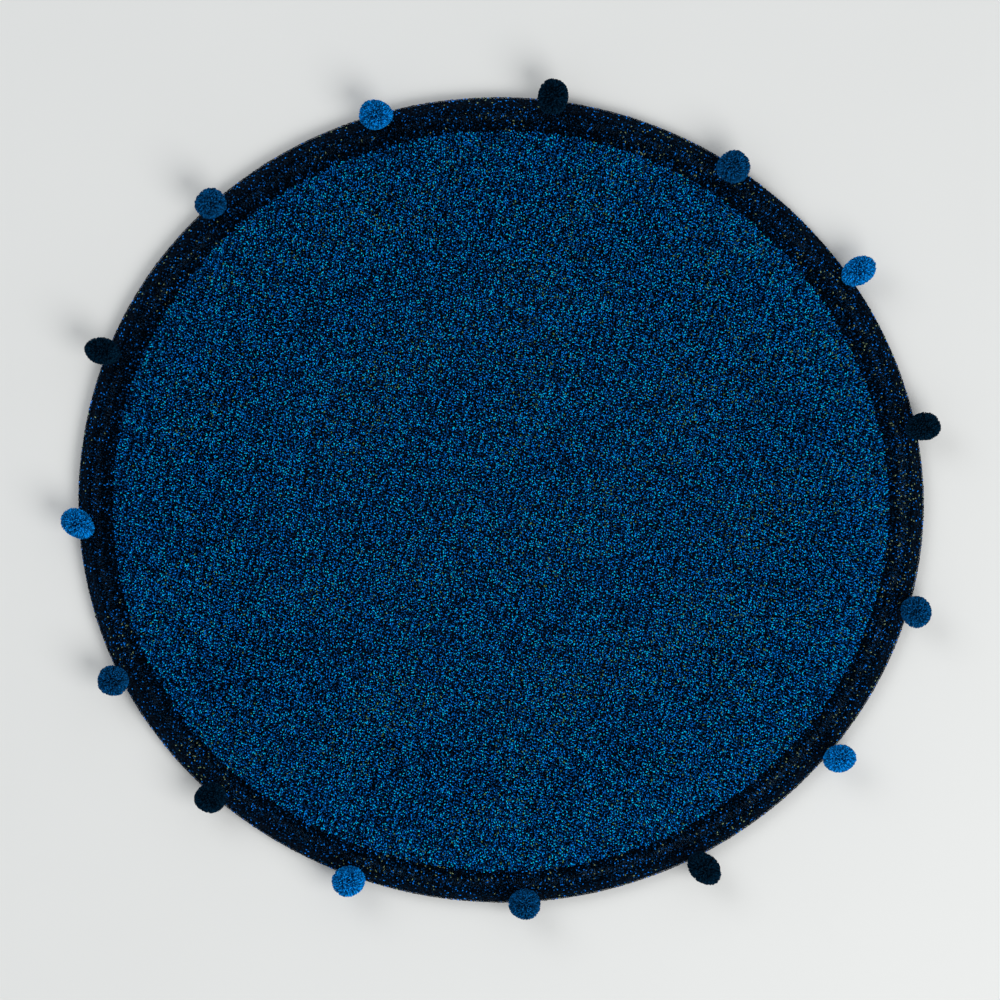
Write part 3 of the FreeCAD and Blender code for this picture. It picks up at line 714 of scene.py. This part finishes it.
def pile(cover_obj):
    """Every tuft of the field and the border, in sectors."""
    x, y, angle, radius, lot = tuft_sites()
    z = cover_heights(cover_obj, x, y)
    rng = np.random.default_rng(23)
    count = len(x)
    seam = SEAM + waves(angle, SEAM_WAVES) + rng.normal(0, SEAM_LOOSENESS, count)
    in_border = radius > seam
    from_seam = np.abs(radius - seam)
    height = crown(PILE_TIPS, radius) - z
    rim = over_rim(radius)
    uneven = rng.uniform(0.86, 1.08, count)
    uneven = uneven + (1 - uneven) * rim
    height = height * uneven + smooth_noise(x, y, 5, 28 * MM) * 0.12 * MM
    groove = 1 - GROOVE_DEPTH * np.exp(-(from_seam / GROOVE_WIDTH) ** 2)
    height = np.maximum(height * groove, SHORTEST_TUFT) * (1 - RIM_SHORTENING * rim)
    drift_angle = smooth_noise(x, y, 7, 9 * MM) * 1.6 + smooth_noise(x, y, 8, 40 * MM) * 1.2
    lean = drift_angle + rng.normal(0, LEAN_SPREAD, count)
    along_rim = angle + math.pi / 2 + rng.normal(0, RIM_LEAN_SPREAD, count)
    lean = np.where(radius > RIM_TURN, along_rim, lean)
    spines, lateral = tuft_spines(x, y, z, radius, height, lean, rng)
    # The shade choice drifts in soft clouds of random tone, and slowly towards lighter shades on the +x side
    # as painted light
    drift = smooth_noise(x, y, 9, 60 * MM) * 0.02 + x / EDGE * 0.012
    field = pick_shades(FIELD_SHADES, lot, drift)
    border = pick_shades(BORDER_SHADES, lot, drift)
    shade = np.where(in_border[:, None], border, field)
    colours = tuft_colours(shade, rng, BRIGHTNESS)
    width = TUFT_RADIUS * rng.uniform(0.8, 1.2, (count, 1))
    radii = width * np.array(TUFT_TAPER)[None, :]
    turn = (angle / (2 * math.pi)) % 1.0
    for is_border, sectors, name, slot_name, node in (
            (False, FIELD_SECTORS, "field_pile", "navy_pile", "field_pile"),
            (True, BORDER_SECTORS, "border_pile", "black_navy_pile", "border_pile")):
        for sector in range(sectors):
            chosen = (in_border == is_border) & ((turn * sectors).astype(int) == sector)
            obj = tube_object(f"{name}_tufts_{sector + 1:02d}", spines[chosen], lateral[chosen],
                              radii[chosen], TUFT_SIDES, colours[chosen])
            put(obj, PILE, "pad", slot_name, node)


# ---------------------------------------------------------------- pompoms

POMPOM_COUNT = 15
STRANDS = 1500
STRAND_RINGS = 4
STRAND_SIDES = 3
STRAND_RADIUS = 0.3 * MM

# Where a strand leaves the firm middle, as a share of its reach, and its rings from there to its tip, with
# painted shade darkest deep in the ball
STRAND_START = 0.5
STRAND_TAPER = (0.9, 1.0, 1.15, 0.95)
STRAND_PAINTED_SHADE = (0.25, 0.5, 0.8, 1.0)

BALL_RADIUS = 8.0 * MM

# No strands stand in a narrow cone round the tie
TIE_OPENING = math.cos(math.radians(13))

POMPOM_BRIGHTNESS = 1.2
POMPOM_SHADES = {
    "bright": ((1, 50, 92), (8, 146, 238)),
    "mid": ((1, 28, 50), (8, 88, 148)),
    "dark": ((0, 5, 9), (6, 36, 56)),
}
COLOUR_CYCLE = ("bright", "dark", "mid")

# How far from round each ball is, as (bearing of its long way in degrees, stretch along and across it)
POMPOM_OVALS = (
    (0, 1.03, 0.89), (83, 1.06, 0.92), (10, 1.0, 0.97), (30, 1.07, 0.87), (8, 1.05, 0.84),
    (90, 0.99, 0.9), (0, 0.98, 0.82), (-45, 1.15, 0.85), (0, 1.0, 0.88), (0, 1.03, 0.9),
    (0, 0.95, 0.9), (0, 0.96, 0.92), (-38, 1.08, 0.83), (-15, 1.08, 0.82), (20, 0.94, 0.9),
)


def pompom_axes(number):
    """Centre of the ball, direction from its pivot, its hinge direction, and the third."""
    joint = next(j for j in frame["joints"] if j["name"] == f"pompom_{number:02d}_swing")
    low, high = box(f"pompom_{number:02d}_ball")
    centre = (low + high) / 2
    up = unit(centre - np.array(joint["pos_m"]))
    hinge = unit(np.array(joint["axis"], dtype=float))
    return centre, up, hinge, np.cross(hinge, up)


def oval_stretch(number):
    """A slight oval squeeze of a ball, level with the floor and turned differently on each."""
    long_way, longer, shorter = POMPOM_OVALS[number - 1]
    turn = math.radians(long_way)
    along = np.array([math.cos(turn), math.sin(turn), 0.0])
    return np.eye(3) * shorter + np.outer(along, along) * (longer - shorter)


def sphere_directions(count):
    """Directions spread evenly over a ball, along a spiral."""
    index = np.arange(count) + 0.5
    polar = np.arccos(1 - 2 * index / count)
    turn = math.pi * (1 + math.sqrt(5)) * index
    return np.stack([np.cos(turn) * np.sin(polar), np.sin(turn) * np.sin(polar), np.cos(polar)], axis=-1)


def pompom(number):
    """A ball of cut yarn: many short strands standing out from a firm middle."""
    rng = np.random.default_rng(100 + number)
    centre, up, hinge, out = pompom_axes(number)
    name = f"pompom_{number:02d}"
    shade = COLOUR_CYCLE[(number - 1) % len(COLOUR_CYCLE)]
    way = sphere_directions(STRANDS)
    way = unit(way + rng.normal(0, 0.035, way.shape))
    way = way[-way[:, 2] < TIE_OPENING]
    count = len(way)
    lump = 1 + 0.03 * np.sin(3 * way[:, 0] + rng.uniform(0, 6))
    lump = lump + 0.025 * np.sin(4 * way[:, 1] + rng.uniform(0, 6))
    reach = BALL_RADIUS * lump * rng.uniform(0.93, 1.01, count)
    drift = unit(np.cross(way, rng.normal(0, 1, way.shape))) * (BALL_RADIUS * 0.09)
    along = np.linspace(STRAND_START, 1.0, STRAND_RINGS)
    local = way[:, None, :] * (reach[:, None] * along[None, :])[..., None]
    local = local + drift[:, None, :] * (along[None, :, None] - STRAND_START) ** 2 * 4
    basis = np.stack([out, hinge, up])
    spines = centre + local @ basis @ oval_stretch(number)
    lateral = unit(np.cross(way, rng.normal(0, 1, way.shape))) @ basis
    low, high = (linear(c) for c in POMPOM_SHADES[shade])
    mix = rng.random((count, 1, 1)) ** 1.6
    # Painted shade: each strand is darker towards the middle of the ball
    painted_core_shade = np.array(STRAND_PAINTED_SHADE)[None, :, None]
    colours = np.clip((low + (high - low) * mix) * painted_core_shade * POMPOM_BRIGHTNESS, 0, 0.9)
    radii = STRAND_RADIUS * rng.uniform(0.8, 1.2, (count, 1)) * np.array(STRAND_TAPER)[None, :]
    tufts = tube_object(f"{name}_yarn", spines, lateral, radii, STRAND_SIDES, colours)
    put(tufts, POMPOM_YARN, name, f"pompom_yarn_{shade}", f"{name}_ball")


# ---------------------------------------------------------------- underside

PANEL_LOW = PANEL_BOX[0][2]
PANEL_THICKNESS = 0.7 * MM
PANEL_EDGE = PANEL_BOX[1][0]
PANEL_FLAT = 185 * MM
PANEL_RISE = 0.8 * MM
PANEL_COLUMNS = 220
PANEL_ROWS = 46
RIM_PUCKERS = 75
RIM_PUCKER_RADIUS = 188 * MM
RIM_PUCKER_HEIGHT = 0.35 * MM
ZIP_PUCKER_HEIGHT = 0.15 * MM
RIPPLE_LENGTH = 1.9 * MM
WINDOW_HALF_LENGTH = 125 * MM
WINDOW_HALF_WIDTH = 4.5 * MM


def panel_height(x, y):
    """Underside of a panel: flat on the seat, lifting to the rim, puckered along the seams."""
    radius = oval_radius(x, y)
    angle = np.arctan2(y / NARROWING, x)
    rise = np.clip((radius - PANEL_FLAT) / (5 * MM), 0, 1)
    rise = rise * rise * (3 - 2 * rise) * PANEL_RISE
    near_rim = np.exp(-((radius - RIM_PUCKER_RADIUS) / (5 * MM)) ** 2)
    pucker = near_rim * (0.5 + 0.5 * np.cos(angle * RIM_PUCKERS)) * RIM_PUCKER_HEIGHT
    near_zip = np.exp(-((np.abs(y - ZIP_Y) - 9 * MM) / (4 * MM)) ** 2) * (np.abs(x) < 130 * MM)
    pucker = pucker + near_zip * (0.5 + 0.5 * np.sin(x / RIPPLE_LENGTH)) * ZIP_PUCKER_HEIGHT
    return PANEL_LOW + rise + pucker


def panel(side, name):
    """One underside panel, ruled from the zip line out to the rim."""
    start = math.asin((ZIP_Y + side * PANEL_GAP) / (PANEL_EDGE * NARROWING))
    if side < 0:
        turn = np.linspace(math.pi - start, 2 * math.pi + start, PANEL_COLUMNS)
    else:
        turn = np.linspace(math.pi - start, start, PANEL_COLUMNS)
    arc_x = PANEL_EDGE * np.cos(turn)
    arc_y = PANEL_EDGE * NARROWING * np.sin(turn)
    half = arc_x[-1]
    line_x = np.linspace(-half, half, PANEL_COLUMNS)
    left = np.argmin(np.abs(line_x + WINDOW_HALF_LENGTH))
    right = PANEL_COLUMNS - 1 - left
    line_x[[left, left + 1]] = -WINDOW_HALF_LENGTH, -WINDOW_HALF_LENGTH + 0.2 * MM
    line_x[[right, right - 1]] = WINDOW_HALF_LENGTH, WINDOW_HALF_LENGTH - 0.2 * MM
    open_part = (np.arange(PANEL_COLUMNS) > left) & (np.arange(PANEL_COLUMNS) < right)
    line_y = ZIP_Y + side * np.where(open_part, WINDOW_HALF_WIDTH, PANEL_GAP)
    share = (np.linspace(0, 1, PANEL_ROWS) ** 1.15)[:, None]
    x = (1 - share) * line_x + share * arc_x
    y = (1 - share) * line_y + share * arc_y
    under = np.stack([x, y, panel_height(x, y)], axis=-1)
    over = under + np.array([0, 0, PANEL_THICKNESS])
    obj = sheet_object(name, under, over)
    return put(obj, CANVAS, "pad", "underside_canvas", name.replace("_cloth", ""))


def hem(side):
    """The folded hem beside the zip opening, as a soft roll of canvas."""
    across = np.array([4.6, 5.2, 9.0, 13.2, 13.8, 13.2, 9.0, 5.2]) * MM
    up = np.array([2.3, 1.72, 1.72, 1.72, 2.3, 2.85, 2.9, 2.85]) * MM
    x = np.linspace(-127.5, 127.5, 256) * MM
    ripple = np.sin(x / RIPPLE_LENGTH)[:, None] * 0.06 * MM
    y = ZIP_Y + side * (across[None, :] + ripple)
    z = up[None, :] + ripple * 0.5
    name = "hem_front" if side < 0 else "hem_rear"
    return put(swept_object(name, x, y, z), CANVAS, "pad", "underside_canvas")


BINDING_STEPS = 1200
RIM_STITCHES = 150
STITCH_RINGS = 7
STITCH_SINK = 0.5 * MM
STITCH_COLOUR = (30, 52, 76)
THREAD_RADIUS = 0.2 * MM
THREAD_SIDES = 6


def binding():
    """The tape folded round the raw edges, drawn in slightly at each stitch."""
    outer = BINDING_BOX[1][0]
    low = BINDING_BOX[0][2]
    high = BINDING_BOX[1][2]
    inner = 193.5 * MM
    web = 0.4 * MM
    section = (
        (inner, low + 0.15 * MM), (inner + 0.3 * MM, low), (196 * MM, low), (outer - 0.8 * MM, low),
        (outer - 0.2 * MM, low + 0.25 * MM), (outer, low + 0.9 * MM), (outer, high - 0.9 * MM),
        (outer - 0.2 * MM, high - 0.2 * MM), (outer - 0.8 * MM, high), (inner + 0.3 * MM, high),
        (inner, high - 0.2 * MM), (inner + 0.3 * MM, high - web), (outer - 0.9 * MM, high - web),
        (outer - web, high - 1.0 * MM), (outer - web, low + 1.0 * MM), (outer - 0.9 * MM, low + web),
        (196 * MM, low + web), (inner + 0.3 * MM, low + web),
    )

    def uneven(angle, radius):
        stitch = 0.5 + 0.5 * np.cos(RIM_STITCHES * angle)
        return -0.15 * MM * stitch + 0 * radius, 0.12 * MM * stitch * (radius < 198 * MM)

    radii, heights = zip(*section)
    obj = lathe_object("rim_binding_tape", radii, heights, BINDING_STEPS, uneven)
    return put(obj, BINDING, "pad", "binding_tape", "rim_binding")


def stitches(name, starts, ends, node):
    """Thread stitches that bow out of the cloth and dive into it at both ends."""
    share = np.linspace(0, 1, STITCH_RINGS)
    spines = starts[:, None, :] * (1 - share)[None, :, None] + ends[:, None, :] * share[None, :, None]
    spines[..., 2] += STITCH_SINK * (np.abs(2 * share - 1) ** 3)[None, :]
    lateral = unit(np.cross(ends - starts, np.array([0.0, 0.0, 1.0])))
    radii = np.full((len(starts), STITCH_RINGS), THREAD_RADIUS)
    rng = np.random.default_rng(41)
    shade = linear(STITCH_COLOUR) * rng.uniform(0.85, 1.2, (len(starts), STITCH_RINGS, 1))
    obj = tube_object(name, spines, lateral, radii, THREAD_SIDES, shade)
    return put(obj, THREAD, "pad", "dark_thread", node)


def rim_stitches():
    """One row of stitches through the binding, each three quarters of its share of the rim long."""
    angle = 2 * math.pi * np.arange(RIM_STITCHES) / RIM_STITCHES
    radius = RIM_THREAD_BOX[1][0] - THREAD_RADIUS
    z = (RIM_THREAD_BOX[0][2] + RIM_THREAD_BOX[1][2]) / 2 + 0.12 * MM

    def ring(turn):
        x = radius * np.cos(turn)
        y = NARROWING * radius * np.sin(turn)
        return np.stack([x, y, np.full(RIM_STITCHES, z)], axis=-1)

    ends = ring(angle + 0.75 * 2 * math.pi / RIM_STITCHES)
    return stitches("rim_stitches", ring(angle), ends, "rim_seam_thread")


def zip_stitches():
    """A row of stitches each side of the zip, and a bar across at each end."""
    low, high = TOPSTITCH_BOX
    z = (low[2] + high[2]) / 2
    starts = []
    ends = []
    length = 2.6 * MM
    pitch = 3.4 * MM
    for y in (low[1] + THREAD_RADIUS, high[1] - THREAD_RADIUS):
        for x in np.arange(low[0], high[0] - length, pitch):
            starts.append((x, y, z))
            ends.append((x + length, y, z))
    for x in (low[0] + THREAD_RADIUS, high[0] - THREAD_RADIUS):
        for y in np.arange(low[1] + 0.6 * MM, high[1] - length, pitch):
            starts.append((x, y, z))
            ends.append((x, y + length, z))
    return stitches("zip_stitches", np.array(starts), np.array(ends), "zip_topstitching")


COIL_TURNS = 165
COIL_STEPS_PER_TURN = 14
COIL_OFFSET = 1.1 * MM
COIL_HALF_WIDTH = 0.95 * MM
COIL_HALF_HEIGHT = 0.3 * MM


def zip_coil(side, name, node):
    """One coil of the zip: a flattened helix of nylon that meets the other at the middle."""
    share = np.linspace(0, 1, COIL_TURNS * COIL_STEPS_PER_TURN + 1)
    phase = 2 * math.pi * COIL_TURNS * share + (math.pi if side > 0 else 0)
    low_x = COIL_BOX[0][0]
    high_x = COIL_BOX[1][0]
    x = low_x + (high_x - low_x) * share
    y = ZIP_Y + side * (COIL_OFFSET - COIL_HALF_WIDTH * np.cos(phase))
    z = (COIL_BOX[0][2] + COIL_BOX[1][2]) / 2 + COIL_HALF_HEIGHT * np.sin(phase)
    spine = np.stack([x, y, z], axis=-1)[None]
    lateral = np.array([[1.0, 0.0, 0.0]])
    radii = np.full((1, len(share)), THREAD_RADIUS)
    vertices, faces = tube_arrays(spine, lateral, radii, THREAD_SIDES)
    return put(mesh_object(name, vertices, faces), NYLON, "pad", "zip_nylon", node)


RIB_PITCH_MM = 0.8


def zip_tape(side, name, node):
    """A ribbed woven tape with a corded inner edge."""
    low = TAPE_BOX[0][2]
    high = TAPE_BOX[1][2]
    across = np.linspace(0.8, 12.0, 57) * MM
    rib = 0.05 * MM * np.cos(across / MM * 2 * math.pi / RIB_PITCH_MM)
    cord = 0.12 * MM * np.exp(-((across - 3.0 * MM) / (0.35 * MM)) ** 2)
    x = np.linspace(TAPE_BOX[0][0], TAPE_BOX[1][0], 181)
    under = low + 0.1 * MM - rib - cord
    over = np.full_like(across, high)
    ring_y = np.concatenate([across, across[::-1]])
    ring_z = np.concatenate([under, over[::-1]])
    y = ZIP_Y + side * ring_y[None, :] + 0 * x[:, None]
    z = ring_z[None, :] + 0.03 * MM * np.sin(x / (2.2 * MM))[:, None]
    return put(swept_object(name, x, y, z), TAPE, "pad", "zip_tape", node)


LABEL_COLUMNS = 29
LABEL_ROWS = 41
RIBBON_HALF_THICKNESS = 0.1 * MM


def label():
    """The blank woven label, with folded edges and a slight curl."""
    low, high = LABEL_BOX
    x = np.linspace(low[0], high[0], LABEL_COLUMNS)[None, :] + np.zeros((LABEL_ROWS, 1))
    y = np.linspace(high[1], low[1], LABEL_ROWS)[:, None] + np.zeros((1, LABEL_COLUMNS))
    far = (high[1] - y) / (high[1] - low[1])
    curl = 0.12 * MM * np.sin(far * math.pi * 2) + 0.06 * MM * np.sin((x - low[0]) * 400)
    edge = np.minimum(np.minimum(x - low[0], high[0] - x), y - low[1])
    fold = np.where(edge < 2.0 * MM, 0.1 * MM, 0.0)
    middle = (low[2] + high[2]) / 2 + curl * 0.5
    under = np.stack([x, y, middle - RIBBON_HALF_THICKNESS - fold], axis=-1)
    over = np.stack([x, y, middle + RIBBON_HALF_THICKNESS], axis=-1)
    obj = sheet_object("care_label_ribbon", under, over)
    return put(obj, LABEL, "care_label", "label_satin", "care_label")


# ---------------------------------------------------------------- CAD nodes that stay

def dress(material, *nodes):
    """A better material for CAD nodes whose shape is right."""
    for node in nodes:
        for place in frame["nodes"][node].material_slots:
            place.material = material


def dress_kept_nodes():
    """Materials for the CAD nodes that no made piece stands for."""
    dress(LINER, "liner_top", "liner_bottom")
    dress(WADDING, "wadding_top", "wadding_bottom")
    dress(FOAM, "foam_core")
    dress(CAD_THREAD, "field_seam_thread", "panel_seam_thread", "label_stitching", "pompom_anchor_stitches")
    dress(CAD_THREAD, *(f"pompom_{number:02d}_tie" for number in range(1, POMPOM_COUNT + 1)))
    dress(SILICONE, "non_slip_dots_front", "non_slip_dots_rear")
    dress(METAL, "zip_stops", "zip_slider", "zip_pull")


# ---------------------------------------------------------------- studio

FRAME_WIDTH = 473.3 * MM
CAMERA_HEIGHT = 2.6
RIM_HEIGHT = 6 * MM
SENSOR = 36.0
FLOOR_HALF_WIDTH = 3.0


def area_light(name, place, size, power, colour=(1.0, 1.0, 1.0)):
    """A round lamp that is aimed at the middle of the part."""
    data = bpy.data.lights.new(name, "AREA")
    data.shape = "DISK"
    data.size = size
    data.energy = power
    data.color = colour
    obj = bpy.data.objects.new(name, data)
    obj.location = place
    obj.rotation_euler = (-Vector(place)).to_track_quat("-Z", "Y").to_euler()
    SCENE.collection.objects.link(obj)


def studio():
    """Pale floor, a large soft key from the lower right, a weaker fill, and a camera overhead."""
    SCENE.view_settings.view_transform = "Standard"
    half = FLOOR_HALF_WIDTH
    corners = np.array([(-half, -half, 0), (half, -half, 0), (half, half, 0), (-half, half, 0)])
    floor = mesh_object("floor", corners, [np.array([[0, 1, 2, 3]])], smooth=False)
    floor.data.materials.append(mottled_material("pale_floor", (208, 208, 205), 12.0, 0.8, 0.0, spread=0.02))
    world = bpy.data.worlds.new("studio")
    world.use_nodes = True
    background = world.node_tree.nodes["Background"]
    background.inputs["Color"].default_value = (0.93, 0.96, 1.0, 1.0)
    background.inputs["Strength"].default_value = 0.7
    SCENE.world = world
    area_light("key", (0.9, -0.8, 1.3), 1.3, 20.0)
    area_light("fill", (-1.0, 0.9, 1.4), 1.2, 8.0, (0.95, 0.97, 1.0))
    camera_data = bpy.data.cameras.new("camera")
    camera_data.sensor_width = SENSOR
    camera_data.lens = SENSOR * (CAMERA_HEIGHT - RIM_HEIGHT) / FRAME_WIDTH
    camera_data.clip_start = 0.05
    camera = bpy.data.objects.new("camera", camera_data)
    camera.location = (0, 0, CAMERA_HEIGHT)
    SCENE.collection.objects.link(camera)
    SCENE.camera = camera


# ---------------------------------------------------------------- everything

cover_object = cover()
pile_base()
pile(cover_object)
for pompom_number in range(1, POMPOM_COUNT + 1):
    pompom(pompom_number)
panel(-1, "bottom_panel_front_cloth")
panel(1, "bottom_panel_rear_cloth")
hem(-1)
hem(1)
binding()
rim_stitches()
zip_stitches()
zip_coil(-1, "zip_coil_front_helix", "zip_coil_front")
zip_coil(1, "zip_coil_rear_helix", "zip_coil_rear")
zip_tape(-1, "zip_tape_front_weave", "zip_tape_front")
zip_tape(1, "zip_tape_rear_weave", "zip_tape_rear")
label()
dress_kept_nodes()
studio()
